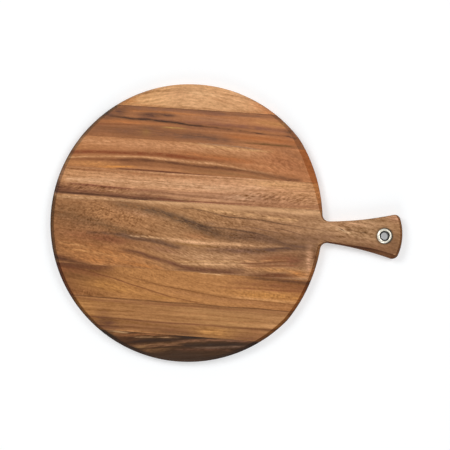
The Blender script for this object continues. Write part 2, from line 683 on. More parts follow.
def calm(x, y, rx, ry, amount):
    """A patch of quiet grain: middle, half length, half width and amount."""
    return "calm", (x, y, rx, ry), amount


def along_share(x):
    """Place along the grain as a share of the curves' range."""
    return (x - X_LOW) / X_SPAN


def in_range(points):
    """Points along and across the grain as shares of the curves' ranges."""
    return [(along_share(x), (y - Y_LOW) / Y_SPAN) for x, y in points]


class Wood(Finish):
    """Wood of one stave: a tone that changes along the grain, broad and fine noise stretched along the
    grain, and the stave's own streaks, blots, ripples and calm patches, all carried down through the
    thickness at a lean."""

    def __init__(self, name, seed, figure):
        super().__init__(name)
        self.seed = seed
        self.along = self.math("MULTIPLY_ADD", self.x, 1 / X_SPAN, -X_LOW / X_SPAN)
        depth = self.math("MULTIPLY_ADD", self.z, figure["lean"], -BOARD_T * figure["lean"])
        slow = self.noise(self.place, SWAY_SIZE, seed + 0.1, detail=1.0)
        quick = self.noise(self.place, WAVER_SIZE, seed + 0.2)
        sway = self.math("MULTIPLY_ADD", slow, SWAY, -SWAY / 2)
        self.v = self.math("ADD", self.math("ADD", self.y, depth), sway)
        self.lifted = self.math("ADD", self.v, -Y_LOW)
        flowed = self.math("MULTIPLY_ADD", quick, WAVER, self.v)
        if "flow" in figure:
            flow = self.curve(self.along, in_range(figure["flow"]))
            flowed = self.math("MULTIPLY_ADD", flow, -Y_SPAN, self.math("ADD", flowed, -Y_LOW))
        self.grain = self.joined(self.x, flowed, self.z)
        length, width, tilt = figure["fleck_size"]
        self.layers = {
            "broad": self.noise(self.grain, BROAD_SIZE, seed + 0.5, detail=1.5),
            "lines": self.noise(self.grain, LINES_SIZE, seed + 0.4),
            "fibre": self.noise(self.grain, FIBRE_SIZE, seed + 0.3, detail=3.0, rough=0.6),
            "fleck": self.noise(self.grain, (length, width, FLECK_DEPTH), seed + 0.6, tilt=tilt),
            "pepper": self.noise(self.grain, PEPPER_SIZE, seed + 0.9, tilt=tilt, detail=1.5),
        }
        flecks = self.math("MULTIPLY", self.layers["fleck"], RAGGED_FLECK)
        self.ragged = self.between(self.math("ADD", self.layers["fibre"], flecks), *RAGGED_RANGE)
        self.pores = self.between(self.noise(self.grain, PORE_SIZE, seed + 0.7, detail=1.0), *PORE_RANGE)
        self.dress(figure)

    def product(self, *values, clamp=False):
        """All values multiplied, and the result held between 0 and 1 where clamp says so."""
        first, *rest = values
        for value in rest[:-1]:
            first = self.math("MULTIPLY", first, value)
        return self.math("MULTIPLY", first, rest[-1], clamp=clamp)

    def bell(self, box, tilt=0.0):
        """exp(-(x / half length) squared - (y / half width) squared) round a middle, on a slope."""
        x, y, rx, ry = box
        u = self.math("MULTIPLY_ADD", self.x, 1 / rx, -x / rx)
        w = self.math("MULTIPLY_ADD", self.v, 1 / ry, -y / ry)
        if tilt:
            w = self.math("MULTIPLY_ADD", u, -tilt * rx / ry, w)
        square = self.math("MULTIPLY_ADD", u, u, self.math("MULTIPLY", w, w))
        return self.math("EXPONENT", self.math("MULTIPLY", square, -1.0))

    def add_streak(self, colour, tone, half, path, fade, rag):
        """Mixes in a tone by strength times exp(-(distance from the centre line / half width) squared)."""
        centre = self.curve(self.along, in_range([(x, y) for x, y, _ in path]))
        ends = [(path[0][0] - fade, 0.0)] + [(x, s) for x, _, s in path] + [(path[-1][0] + fade, 0.0)]
        strength = self.curve(self.along, [(along_share(x), s) for x, s in ends])
        off = self.math("MULTIPLY_ADD", centre, -Y_SPAN, self.lifted)
        bell = self.math("EXPONENT", self.product(off, off, -1 / half ** 2))
        ragged = self.math("MULTIPLY_ADD", self.ragged, 2 * rag, 1 - rag)
        return self.mix(self.product(bell, strength, ragged, clamp=True), colour, rgba(tone))

    def add_blot(self, colour, tone, box, strength, tilt):
        """Mixes in a tone by strength times the bell of the blot's box, broken up by the fibres."""
        ragged = self.math("MULTIPLY_ADD", self.ragged, BLOT_RAG, BLOT_LEAST)
        share = self.product(self.bell(box, tilt), strength, ragged, clamp=True)
        return self.mix(share, colour, rgba(tone))

    def add_ripple(self, shade, box, amount, size, tilt, seed):
        """Adds waves of noise, centred on nought, by the bell of the ripple's box."""
        wave = self.noise(self.place, (*size, CURL_DEPTH), seed, tilt=tilt, detail=1.5)
        wave = self.math("MULTIPLY_ADD", wave, amount, -amount / 2)
        return self.math("MULTIPLY_ADD", wave, self.bell(box), shade)

    def edges(self, figure):
        """Where the sanded edge is darker, and its tint: end grain drinks the oil by the stave's own
        measure at its left and right end, the nose is burnished, and so is the top of the wall under it on
        the left and near sides. On the handle, hands have stained the near edge, and grime lies round the
        eyelet."""
        end_grain = self.noise(self.place, END_GRAIN_SIZE, self.seed + 0.8, detail=3.0)
        end_grain = self.between(end_grain, *END_GRAIN_RANGE, *END_GRAIN_SPREAD)
        ends_on = self.between(self.ends_on, *ENDS_ON)
        left, right = ((*tint, 1) for tint in figure["rim"])
        oiled = self.mix(self.between(self.x, *END_TURN_X), left, right)
        yield self.product(ends_on, end_grain, clamp=True), oiled
        nose = self.product(self.between(self.up, *NOSE_FROM_BEVEL), self.between(self.up, *NOSE_FROM_WALL))
        wall_top = self.product(self.between(self.z, *RUBBED_HIGH), self.between(self.z, *RUBBED_LOW))
        left_side, near_side = self.between(self.x, *RUBBED_LEFT), self.between(self.y, *RUBBED_NEAR)
        rubbed = self.math("MAXIMUM", left_side, near_side, clamp=True)
        rubbed = self.math("MINIMUM", rubbed, self.between(self.x, *RUBBED_NECK))
        nose = self.math("MAXIMUM", nose, self.product(wall_top, rubbed))
        yield self.product(nose, self.between(ends_on, 0.0, 1.0, *NOSE_AT_ENDS)), NOSE_TINT
        if figure.get("stained"):
            near = self.product(self.between(self.far, *STAIN_FACING), self.between(self.x, *STAIN_X))
            yield self.product(near, self.between(ends_on, 0.0, 1.0, *STAIN_AT_ENDS)), STAIN_TINT
            grime = self.between(self.off_axis(GRIME_X), *GRIME_FADE, *GRIME_SHARE)
            yield self.math("MULTIPLY", grime, self.product(grime, end_grain), clamp=True), GRIME_TINT

    def dress(self, figure):
        """Base tone, marks, the noise layers as one multiplier, pores, and the darker sanded edges."""
        colour = self.ramp(self.along, [(along_share(x), tone) for x, tone in figure["tones"]])
        shade = None
        for kind, amount in figure["layers"].items():
            part = self.math("MULTIPLY_ADD", self.layers[kind], amount, -amount / 2)
            shade = part if shade is None else self.math("ADD", shade, part)
        for i, (kind, *mark) in enumerate(figure["marks"]):
            if kind == "streak":
                colour = self.add_streak(colour, *mark)
            elif kind == "blot":
                colour = self.add_blot(colour, *mark)
            elif kind == "ripple":
                shade = self.add_ripple(shade, *mark, self.seed + 0.05 * i)
            else:
                box, amount = mark
                kept = self.math("MULTIPLY_ADD", self.bell(box), -amount, 1.0)
                shade = self.math("MULTIPLY", shade, kept)
        colour = self.vector("MULTIPLY", colour, self.vector("MULTIPLY_ADD", shade, FLECK_RGB, (1, 1, 1)))
        pores = self.math("MULTIPLY", self.pores, PORE_SHARE)
        colour = self.mix(pores, colour, rgba(figure.get("pore", PORE_TONE)))
        for share, tint in self.edges(figure):
            colour = self.vector("MULTIPLY", colour, self.mix(share, (1, 1, 1, 1), tint))
        rough = self.between(self.layers["fibre"], *FIBRE_RANGE, *ROUGH_RANGE)
        height = self.math("MULTIPLY_ADD", self.pores, -PORE_DEPTH, self.layers["fibre"])
        self.finish(colour, rough, height, WOOD_RELIEF, Specular_IOR_Level=WOOD_GLOSS)


# Figure of each stave, from the far rim to the near rim. tones: the base tone at places along the grain.
# lean: how far the figure leans across for each millimetre down. fleck_size: length, width and turn of the
# flecks. pore: tone of the pores. rim: what end grain leaves of the colour at the left and the right end.
# layers: strength of each noise. flow: the course of the grain, as height at places along it. marks:
# streaks, blots, ripples, calm patches
FIGURES = {
    "stave_1": dict(
        tones=[(-110, (206, 142, 86)), (-70, (214, 160, 108)), (-10, (216, 163, 115)),
            (50, (217, 162, 114)), (110, (210, 146, 98))],
        lean=0.25, fleck_size=(11, 2.3, 0), pore=(150, 98, 60), rim=((0.85, 0.88, 0.94), (1.0, 1.0, 1.0)),
        layers=dict(broad=0.8, lines=0.7, fibre=0.5, fleck=1.2, pepper=0.7),
        flow=[(-110, -16), (-60, -5), (-15, 3), (25, 1), (60, -6), (110, -15)],
        marks=[
            streak((196, 140, 88), 3.0, [(-60, 173, 0.5), (0, 176, 0.6), (60, 173, 0.5)]),
            streak((176, 116, 70), 1.3, [(-98, 146.3, 0.7), (0, 145.9, 0.35), (98, 146.3, 0.6)]),
            blot((198, 126, 76), 88, 151, 14, 5, 0.7, -0.5),
            blot((196, 128, 72), -86, 152, 12, 4, 0.7, 0.5),
            blot((176, 112, 62), -84, 149.5, 12, 1.0, 0.6, 0.05),
            blot((190, 130, 80), -60, 164, 14, 2.0, 0.6, 0.35),
            blot((182, 124, 78), 28, 159, 14, 1.6, 0.5, -0.25),
            blot((192, 140, 96), -25, 164, 26, 6, 0.5, 0.1),
            blot((234, 184, 134), 8, 166, 24, 3, 0.4, -0.1),
            blot((196, 146, 100), 28, 152, 22, 4, 0.5, -0.05),
            blot((200, 150, 104), 0, 171, 10, 5, 0.5),
        ]),
    "stave_2": dict(
        tones=[(-140, (159, 103, 65)), (-100, (165, 108, 68)), (-60, (171, 113, 72)), (20, (179, 119, 78)),
            (80, (187, 124, 80)), (130, (175, 113, 73))],
        lean=0.35, fleck_size=(9, 1.8, -3), rim=((0.53, 0.61, 0.61), (0.63, 0.62, 0.61)),
        layers=dict(broad=0.5, lines=0.6, fibre=0.35, fleck=0.5, pepper=0.35),
        flow=[(-140, 4), (-60, 2.5), (0, 0), (60, -2), (130, -7)],
        marks=[
            streak((136, 92, 66), 2.6, [(-84, 142.5, 0.8), (0, 142.3, 0.8), (60, 141.6, 0.8),
                (100, 141.5, 0.5)]),
            streak((106, 68, 48), 0.9, [(-88, 144.2, 0.6), (0, 144.2, 0.55), (60, 144.2, 0.55),
                (100, 144.2, 0.6)]),
            blot((128, 82, 64), 22, 139.8, 14, 2.2, 0.6),
            streak((196, 126, 74), 1.0, [(-72, 138.4, 0.8), (-40, 138.6, 0.9), (0, 137.5, 0.5),
                (40, 137.5, 0.3)]),
            streak((198, 138, 84), 3.4, [(76, 134, 0.3), (94, 133, 0.7), (108, 132.4, 0.8)]),
            streak((182, 112, 62), 2.2, [(-118, 122.6, 0.5), (-90, 123.4, 0.9), (-66, 123.2, 0.7),
                (-30, 122.3, 0.3)]),
            streak((182, 120, 76), 1.6, [(5, 117.5, 0.5), (40, 117, 0.5), (60, 116.4, 0.3)]),
            streak((140, 90, 60), 2.2, [(-60, 119.5, 0.4), (10, 121.2, 0.7), (50, 120.2, 0.7),
                (80, 118.6, 0.3)]),
            streak((130, 85, 58), 6.4, [(-124, 112, 0.6), (-90, 111.5, 0.75), (-30, 111, 0.85),
                (0, 110.5, 0.85), (30, 109, 0.7), (52, 107, 0.4)], fade=16),
            streak((116, 80, 60), 3.6, [(-18, 109, 0.4), (10, 110, 0.8), (32, 108.5, 0.6), (45, 107, 0.3)]),

            blot((158, 112, 62), -62, 113, 6, 6, 0.6),
            blot((130, 86, 62), -58, 117, 18, 3, 0.6),
            blot((150, 104, 76), 18, 133, 26, 4, 0.5),
            blot((172, 112, 72), -114, 106, 10, 2, 0.6),
            streak((172, 104, 58), 3.6, [(45, 113.5, 0.4), (80, 113, 0.8), (110, 112, 0.7),
                (130, 110, 0.6)]),
            streak((116, 78, 44), 1.5, [(64, 106.5, 0.5), (88, 106.2, 0.9), (112, 105.5, 0.9),
                (130, 105, 0.5)]),
            blot((96, 64, 50), -98, 136, 10, 6, 0.8),
            blot((92, 62, 50), -114, 131, 9, 5.5, 0.9),
            blot((96, 62, 46), -91, 142.4, 4, 1.2, 0.6),
            blot((96, 63, 48), -60, 133.5, 14, 4.4, 1.0),
            blot((86, 57, 45), -38, 135.3, 15, 2.1, 1.0, -0.05),
            streak((140, 90, 66), 2.6, [(-60, 129.5, 0.5), (0, 127.8, 0.7), (30, 127.4, 0.85),
                (70, 126.8, 0.9), (105, 124.4, 0.8)]),
            streak((66, 44, 34), 1.5, [(-104, 129.6, 0.8), (-92, 128.8, 0.9), (-80, 127.8, 0.9),
                (-62, 128.6, 1.0), (-45, 127.4, 1.0), (-22, 126.4, 0.9), (-8, 124.6, 0.85),
                (4, 124.2, 0.8)], fade=8, rag=0.5),
            streak((88, 55, 40), 1.1, [(8, 124.2, 0.8), (40, 122.6, 0.65), (62, 121.4, 0.65),
                (80, 119.8, 0.75), (96, 118.8, 0.5), (120, 118.2, 0.6), (130, 115.5, 0.35)], fade=8,
                rag=0.8),
            blot((88, 60, 45), 120, 123, 5, 3, 0.6, -0.3),
            streak((134, 76, 46), 0.8, [(-124, 118.6, 0.7), (-100, 119.4, 0.8), (-80, 120, 0.5)]),
            streak((190, 146, 80), 1.0, [(-40, 119.4, 0.3), (-28, 120, 0.6), (-14, 119.6, 0.35)], fade=6),
        ]),
    "stave_3": dict(
        tones=[(-170, (180, 120, 74)), (-60, (180, 121, 78)), (40, (176, 118, 75)), (100, (188, 124, 80)),
            (160, (182, 119, 76))],
        lean=0.3, fleck_size=(6, 1.8, -14), rim=((0.56, 0.63, 0.67), (0.77, 0.58, 0.37)),
        layers=dict(broad=0.4, lines=0.4, fibre=0.35, fleck=0.65, pepper=0.45),
        flow=[(-165, -8), (-100, -1), (-50, 0.5), (20, -1.5), (90, -8), (160, -17)],
        marks=[
            streak((210, 150, 104), 4.6, [(-140, 95, 0.5), (-40, 95.5, 0.6), (20, 95.5, 0.8),
                (60, 94.5, 0.8), (90, 93, 0.5)]),
            streak((206, 150, 102), 1.4, [(-8, 100.6, 0.4), (20, 100.4, 0.7), (44, 99.8, 0.5)]),
            streak((156, 118, 90), 1.0, [(14, 101.6, 0.4), (40, 101.2, 0.8), (76, 99.4, 0.8)]),
            streak((216, 164, 110), 1.3, [(20, 98.2, 0.5), (60, 97.6, 0.65), (92, 97.2, 0.5)], rag=0.8),
            streak((134, 72, 40), 3.0, [(-160, 79.0, 0.95), (-140, 80.8, 0.9), (-110, 82.4, 0.9),
                (-70, 83.6, 0.95), (-50, 83.8, 1.0), (-20, 82.8, 1.0), (0, 82.2, 0.9), (30, 82, 0.7),
                (60, 80, 0.4)], fade=24),
            streak((190, 114, 64), 3.0, [(-10, 88, 0.3), (20, 86, 0.5), (45, 84.5, 0.6), (70, 82, 0.4)]),
            streak((130, 78, 46), 2.8, [(-158, 70.4, 0.6), (-120, 72.6, 0.8), (-90, 73.6, 0.8),
                (-60, 74, 0.5)]),
            streak((106, 64, 40), 2.7, [(-80, 74.4, 0.7), (-55, 75.2, 0.85), (-20, 73.8, 0.85),
                (8, 72.2, 0.9), (30, 71.6, 0.95), (56, 70.6, 0.85), (80, 69, 0.7), (102, 66.4, 0.6),
                (124, 62.8, 0.8)], fade=20),
            streak((216, 160, 110), 0.9, [(-162, 72.2, 0.6), (-150, 73.8, 0.8), (-130, 75.4, 0.7),
                (-104, 77.4, 0.7), (-80, 78.8, 0.7), (-60, 79.2, 0.7), (-42, 78.8, 0.7)], fade=8),
            streak((210, 154, 108), 1.4, [(-44, 78.4, 0.6), (-20, 77.6, 0.6), (0, 76.9, 0.6),
                (30, 76.4, 0.6), (52, 75, 0.5), (74, 71.8, 0.4), (92, 69.4, 0.4)], rag=0.9),
            blot((206, 140, 82), -125, 66.5, 34, 3.4, 0.8),
            streak((216, 142, 72), 1.2, [(-112, 64, 0.6), (-98, 64.6, 0.9), (-82, 66, 0.8)]),
            streak((150, 104, 66), 2.4, [(0, 66, 0.6), (50, 65, 0.7), (100, 62.8, 0.6)]),
            streak((140, 88, 54), 2.6, [(-80, 69.6, 0.6), (-20, 69, 0.7), (0, 68.6, 0.6), (40, 67.6, 0.3)]),

            streak((100, 56, 38), 0.9, [(-84, 62.2, 0.9), (-40, 62.4, 1.0), (0, 62.2, 0.8), (20, 62, 0.4)]),

            blot((158, 98, 62), 118, 84, 26, 7, 0.6, -0.25),
            streak((128, 84, 54), 2.6, [(78, 68.4, 0.5), (96, 66.6, 0.7), (116, 65, 0.5)]),
            blot((146, 96, 64), 128, 95, 16, 3.5, 0.6, -0.3),
            ripple(115, 82, 36, 16, 1.5, (2.2, 5.0), 62),
            ripple(-35, 87, 40, 4, 0.9, (1.1, 3.0), 0),
            ripple(22, 78, 34, 3, 1.1, (1.3, 2.2), 0),
        ]),
    "stave_4": dict(
        tones=[(-175, (194, 138, 92)), (-60, (206, 150, 106)), (60, (208, 152, 110)),
            (170, (204, 148, 102))],
        lean=0.3, fleck_size=(10, 2.0, -4), rim=((0.54, 0.55, 0.61), (0.77, 0.59, 0.39)),
        layers=dict(broad=0.6, lines=1.0, fibre=0.7, fleck=1.0, pepper=0.9),
        flow=[(-170, 2), (0, 0), (170, -1)],
        marks=[
            streak((174, 116, 74), 2.2, [(-160, 59.6, 0.8), (-100, 58.8, 0.85), (-60, 57.4, 0.8),
                (-20, 57.2, 0.6), (20, 57.4, 0.4)]),
            streak((172, 118, 80), 1.0, [(-60, 58.2, 0.5), (-30, 57.8, 0.6), (10, 59.4, 0.6),
                (60, 58.6, 0.6)]),
            streak((218, 168, 126), 4.2, [(-150, 44.5, 0.6), (-60, 46, 0.5), (0, 46.4, 0.8), (50, 46, 0.6),
                (90, 50, 0.3)]),
            streak((140, 92, 60), 4.4, [(-172, 34, 0.9), (-130, 34.4, 0.85), (-100, 34.6, 0.8),
                (-70, 33.6, 0.6), (-40, 33.4, 0.4)]),
            streak((206, 152, 108), 1.2, [(-150, 32.2, 0.3), (-128, 32.8, 0.5), (-112, 32.4, 0.5),
                (-96, 32.8, 0.7), (-84, 31.8, 0.7), (-66, 32, 0.5)], fade=6, rag=1.0),
            streak((128, 74, 52), 1.1, [(-150, 39.2, 0.5), (-132, 38.8, 0.9), (-108, 37.8, 0.95),
                (-84, 37.6, 0.9), (-60, 37, 0.7), (-30, 36.6, 0.5)]),
            streak((130, 84, 58), 0.7, [(-40, 35.6, 0.5), (-16, 34.6, 0.8), (10, 34.2, 0.9),
                (28, 33.8, 0.8), (44, 34.6, 0.5)], rag=0.4),
            streak((150, 100, 68), 0.8, [(-60, 38.6, 0.6), (-10, 37.8, 0.7), (30, 38.8, 0.6)]),
            streak((150, 104, 73), 3.6, [(-60, 34, 0.4), (-20, 34.4, 0.7), (20, 33.8, 0.75), (60, 34, 0.7),
                (100, 35, 0.4)]),
            streak((72, 43, 28), 2.3, [(-172, 27.8, 1.0), (-140, 27.2, 1.0), (-110, 26.6, 1.0),
                (-84, 26.2, 1.0), (-62, 26, 1.0), (-40, 26.4, 0.8), (-12, 27, 0.7), (4, 27.4, 0.3)],
                rag=0.35),
            streak((110, 66, 44), 2.8, [(-172, 30.4, 0.7), (-110, 29.6, 0.7), (-70, 28.6, 0.7),
                (-30, 28.6, 0.5)]),
            blot((92, 52, 34), -170, 34, 7, 7, 0.6),
            streak((124, 70, 50), 0.9, [(-30, 26.8, 0.8), (10, 26.8, 0.9), (50, 27.2, 0.9), (80, 27.2, 0.7),
                (110, 27.6, 0.4)], rag=0.4),
            streak((212, 158, 110), 1.4, [(-172, 23.4, 0.8), (-140, 23.2, 0.8), (-112, 23, 0.6),
                (-90, 23, 0.3)], rag=0.25),
            streak((160, 108, 74), 3.0, [(50, 30.4, 0.5), (90, 30.4, 0.7), (130, 30.6, 0.8),
                (165, 30.6, 0.85)]),
            blot((164, 114, 80), 92, 37, 80, 7.5, 0.7),
            streak((172, 118, 80), 0.8, [(84, 46.6, 0.6), (110, 48, 0.8), (140, 49.4, 0.8),
                (158, 50.4, 0.6)], rag=0.4),
            blot((212, 158, 106), 110, 56, 40, 3.4, 0.7),
            blot((208, 160, 122), 68, 36.5, 22, 4, 0.5, 0.1),
            ripple(118, 38, 50, 9, 2.6, (5.6, 2.1), 28),
            ripple(70, 36, 28, 7, 2.4, (8.0, 2.2), 14),
            ripple(-125, 35, 50, 5, 2.8, (4.4, 2.1), 24),
        ]),
    "handle_stave": dict(
        tones=[(-175, (151, 101, 61)), (-90, (169, 117, 74)), (0, (172, 124, 82)), (110, (166, 120, 83)),
            (190, (172, 128, 90)), (230, (172, 130, 92)), (270, (172, 126, 86))],
        lean=0.45, fleck_size=(8, 1.9, -12), stained=True, rim=((0.37, 0.35, 0.27), (0.5, 0.38, 0.24)),
        layers=dict(broad=0.4, lines=0.6, fibre=0.8, fleck=1.3, pepper=1.0),
        flow=[(-170, 10), (-110, 7), (-60, 0), (0, -12), (60, -21), (120, -24), (180, -24), (270, -27)],
        marks=[
            blot((178, 116, 64), -105, -47, 64, 11, 0.75, -0.1),
            blot((140, 98, 62), -152, 8, 34, 9, 0.5, -0.05),
            blot((150, 96, 54), -128, -41, 26, 5, 0.5, -0.15),
            blot((146, 90, 55), -112, -27, 46, 7, 0.85, -0.04),
            blot((126, 74, 48), -100, -28, 22, 5, 0.7, -0.1),
            blot((196, 148, 106), 30, -43.5, 44, 8.5, 0.8, -0.04),
            blot((206, 152, 106), 82, -50, 18, 3.6, 0.7, 0.05),
            blot((138, 86, 54), 120, -38.5, 30, 7.5, 0.85, 0.12),
            blot((200, 140, 84), 118, -53, 32, 3.4, 0.7, 0.03),
            blot((186, 120, 64), -55, -59, 28, 3, 0.8, -0.08),
            blot((114, 80, 56), 70, -12.5, 56, 6.5, 0.8, -0.06),
            blot((128, 90, 68), 58, -32.5, 36, 4.6, 0.7, 0.04),
            blot((104, 70, 58), 74, -31.6, 20, 2.4, 0.3),
            blot((176, 120, 78), 12, -17, 16, 4, 0.7),
            blot((196, 142, 102), -62, 7, 28, 4, 0.45, -0.1),
            blot((128, 92, 65), 28, 0.4, 10, 2.4, 0.6),
            calm(50, 23, 130, 4.5, 0.8),
            streak((212, 162, 116), 3.3, [(-172, 22, 0.8), (-130, 22.4, 0.8), (-90, 22.6, 0.85),
                (0, 23, 0.9), (60, 23, 0.95), (110, 23, 0.95), (166, 23, 0.85)], rag=0.15),
            streak((156, 106, 68), 1.2, [(-170, 18.6, 0.4), (-120, 19.3, 0.6), (-90, 19.2, 0.8),
                (-60, 19, 0.3)]),
            streak((204, 154, 106), 2.4, [(12, 18.4, 0.4), (28, 16.8, 0.85), (60, 16, 0.7), (100, 13, 0.6),
                (128, 12.4, 0.7)], rag=0.8),
            streak((104, 76, 52), 6.0, [(-96, 17.8, 0.3), (-80, 16.4, 0.55), (-60, 13.4, 0.6),
                (-40, 10.2, 0.65), (-20, 5.6, 0.7), (-6, 2.2, 0.75), (4, -1, 0.8), (15, -4.4, 0.8),
                (26, -7.6, 0.7), (36, -11, 0.5)], fade=20, rag=0.7),
            streak((76, 54, 41), 3.6, [(-48, 12.8, 0.4), (-28, 9, 0.4), (-8, 3.4, 0.5), (6, -1.6, 0.7),
                (22, -5.4, 0.5), (32, -8, 0.25)], rag=1.0),
            streak((98, 68, 48), 4.0, [(20, -9, 0.25), (36, -13, 0.4), (52, -16.4, 0.5), (66, -18, 0.3)],
                rag=0.9),
            streak((88, 60, 44), 0.95, [(24, -4, 0.5), (50, -4.4, 0.7), (70, -6.4, 0.9), (86, -8, 1.0),
                (104, -11.6, 1.0), (118, -16.4, 1.0), (134, -20.6, 0.8), (150, -22.4, 0.5)], rag=0.4),
            streak((112, 78, 56), 3.6, [(80, -12, 0.7), (110, -16, 0.85), (130, -20, 0.7),
                (160, -19, 0.4)]),
            streak((100, 68, 46), 0.8, [(4, 17.4, 0.6), (28, 14, 0.7), (48, 10.8, 0.9), (62, 10.2, 1.0),
                (80, 9.6, 0.8), (102, 8.4, 0.8), (120, 6.4, 0.75), (134, 5.4, 0.6), (150, 3.4, 0.45),
                (182, 1, 0.25)], rag=0.8),
            streak((116, 80, 58), 0.8, [(70, -0.6, 0.4), (84, -1.4, 0.8), (104, -4.6, 0.7), (124, -6, 0.4)],
                fade=8),
            streak((112, 76, 54), 0.7, [(118, -0.2, 0.7), (130, -2, 0.8), (150, -7, 0.6),
                (172, -10.6, 0.5)], fade=8),
            streak((116, 82, 52), 5.6, [(-166, 0, 0.5), (-142, -4, 0.65), (-126, -7, 0.7),
                (-108, -10.6, 0.7), (-94, -14.6, 0.75), (-80, -18, 0.75), (-66, -21.4, 0.7)], fade=18,
                rag=0.7),
            blot((128, 86, 54), -138, -11, 36, 8, 0.6, -0.1),
            blot((126, 90, 64), 138, -12, 44, 5.5, 0.7, -0.02),
            blot((114, 74, 48), 228, -16.5, 60, 5, 0.8, -0.06),
            streak((88, 58, 42), 1.8, [(-122, -22.2, 0.6), (-102, -21.4, 0.7), (-86, -22, 0.9),
                (-72, -24.4, 1.0), (-54, -26.4, 0.9), (-34, -29, 0.8), (-14, -33.4, 0.8)], fade=8,
                rag=0.55),
            streak((112, 78, 56), 3.6, [(-80, -22.4, 0.7), (-60, -24.6, 0.85), (-30, -28, 0.8),
                (-10, -32, 0.5)]),
            blot((146, 98, 70), -28, -37, 26, 3.6, 0.6, -0.1),
            streak((226, 176, 128), 1.2, [(-62, -22, 0.5), (-46, -22.6, 0.7), (-30, -23.4, 0.4)], rag=1.0),
            streak((226, 172, 126), 2.2, [(-22, -24.4, 0.45), (0, -24.8, 0.95), (24, -24.8, 1.0),
                (46, -24.6, 0.9), (62, -24.2, 0.7)], fade=12, rag=0.15),
            streak((200, 150, 106), 1.4, [(62, -24.2, 0.6), (84, -23.6, 0.45), (116, -23, 0.4)], rag=1.0),
            streak((150, 106, 60), 0.9, [(-6, -28.4, 0.7), (10, -29, 0.9), (34, -29.2, 0.7)], rag=0.4),
            streak((98, 68, 52), 3.2, [(84, -30.4, 0.7), (96, -28.8, 0.8), (110, -27, 0.9),
                (124, -25.6, 0.9), (140, -23.8, 0.8), (158, -23, 0.5)], rag=0.6),
            streak((112, 70, 48), 2.8, [(-74, -41.6, 0.7), (-60, -43.4, 0.9), (-45, -47.2, 0.9),
                (-30, -50.8, 0.95), (-15, -54.2, 0.95), (0, -57, 0.95), (18, -58.8, 0.95), (46, -59, 0.95),
                (66, -58.4, 0.7)]),
            streak((106, 66, 46), 1.4, [(0, -60.8, 0.7), (30, -61, 0.8), (60, -60.6, 0.6)]),
            streak((84, 49, 31), 3.2, [(-168, -57, 1.0), (-152, -58.6, 1.0), (-138, -60.4, 0.85),
                (-122, -62.2, 0.5)], fade=10, rag=0.45),
            streak((112, 66, 42), 1.2, [(-168, -54, 0.6), (-150, -55.6, 0.6), (-134, -58, 0.4)]),
            blot((194, 126, 70), -115, -57, 24, 4.5, 0.6, -0.06),
            streak((206, 148, 94), 1.2, [(-156, -37, 0.4), (-140, -39.4, 0.5), (-128, -41.6, 0.4)], fade=8,
                rag=0.9),
            streak((206, 146, 90), 1.2, [(-140, -44.6, 0.4), (-112, -47.6, 0.5), (-84, -50, 0.4)], rag=0.9),

            streak((150, 94, 54), 1.0, [(-150, -34.4, 0.5), (-120, -37.4, 0.7), (-96, -42.4, 0.6),
                (-80, -44, 0.4)], rag=0.9),
            streak((120, 72, 44), 0.9, [(80, -47.4, 0.8), (100, -45.6, 0.9), (116, -42.8, 0.9),
                (130, -40.6, 0.7)], rag=0.6),
            streak((206, 146, 94), 1.0, [(70, -44.6, 0.3), (96, -43.4, 0.4), (112, -40.6, 0.4),
                (132, -39.6, 0.3)], rag=0.6),
            streak((128, 76, 46), 1.3, [(86, -50, 0.6), (106, -48.6, 0.7), (126, -46.4, 0.7),
                (150, -45, 0.5)]),
            streak((214, 164, 112), 0.9, [(0, -50.6, 0.6), (30, -48, 0.8), (60, -46, 0.6)]),
            streak((160, 112, 76), 0.8, [(-4, -47.4, 0.5), (30, -45, 0.6), (64, -43.4, 0.5)]),
            streak((216, 166, 118), 0.9, [(6, -53.6, 0.6), (40, -51.4, 0.8), (70, -49, 0.5)]),
            streak((108, 64, 38), 2.8, [(84, -61.4, 0.5), (98, -60.6, 0.9), (116, -59.6, 1.0),
                (136, -59.4, 0.8)], fade=12),
            blot((120, 72, 48), 140, -39.5, 12, 5.5, 0.75),
            blot((112, 76, 54), 68, -55, 14, 2.0, 0.6),
            blot((112, 74, 49), 149, -33, 6.5, 6.5, 0.6),
            blot((110, 70, 44), -171, -44, 5, 10, 0.5),
            blot((202, 150, 114), 157.6, -37, 3.4, 15, 1.0),
            blot((108, 66, 38), 164, -32, 2.6, 9, 0.8),
            blot((232, 172, 112), 171, -33, 2.8, 14, 0.8),
            blot((214, 136, 62), 165, -57, 6, 8, 0.7),
            blot((194, 126, 68), 146, -56, 11, 4, 0.8),
            blot((200, 146, 112), 262, 23, 9, 4, 0.8, -0.1),
            blot((138, 98, 70), 178, -5.5, 26, 4, 0.6),
            blot((150, 106, 74), 235, -10.5, 24, 4.5, 0.6, -0.12),
            blot((206, 164, 122), 200, 2.5, 13, 1.3, 0.9, -0.28),
            blot((206, 160, 118), 192, 6, 14, 2, 0.6, -0.05),
            blot((204, 154, 114), 206, 11.5, 30, 3.4, 0.55, 0.05),
            blot((120, 83, 55), 264, -10, 9, 14, 0.7),
            blot((92, 64, 44), 196, 4.2, 4.5, 0.8, 0.9, -0.5),
            blot((104, 72, 50), 206.5, 4.6, 4, 0.8, 0.8, -0.3),
            blot((110, 78, 54), 223, 2.4, 5, 0.8, 0.8, 0.1),
            ripple(40, 2, 60, 14, 1.7, (3.4, 1.6), -28),
            ripple(-75, 2, 60, 14, 1.4, (3.0, 2.0), 40),
            ripple(-115, -6, 50, 26, 2.4, (2.8, 1.9), 30),
            ripple(62, -31, 36, 6, 2.2, (3.0, 2.0), 20),
            ripple(212, 1, 40, 11, 2.6, (7.5, 2.2), -20),
            ripple(10, -4, 36, 9, 1.6, (3.0, 1.6), -30),
            ripple(75, -13, 42, 8, 1.9, (2.6, 1.7), 20),
        ]),
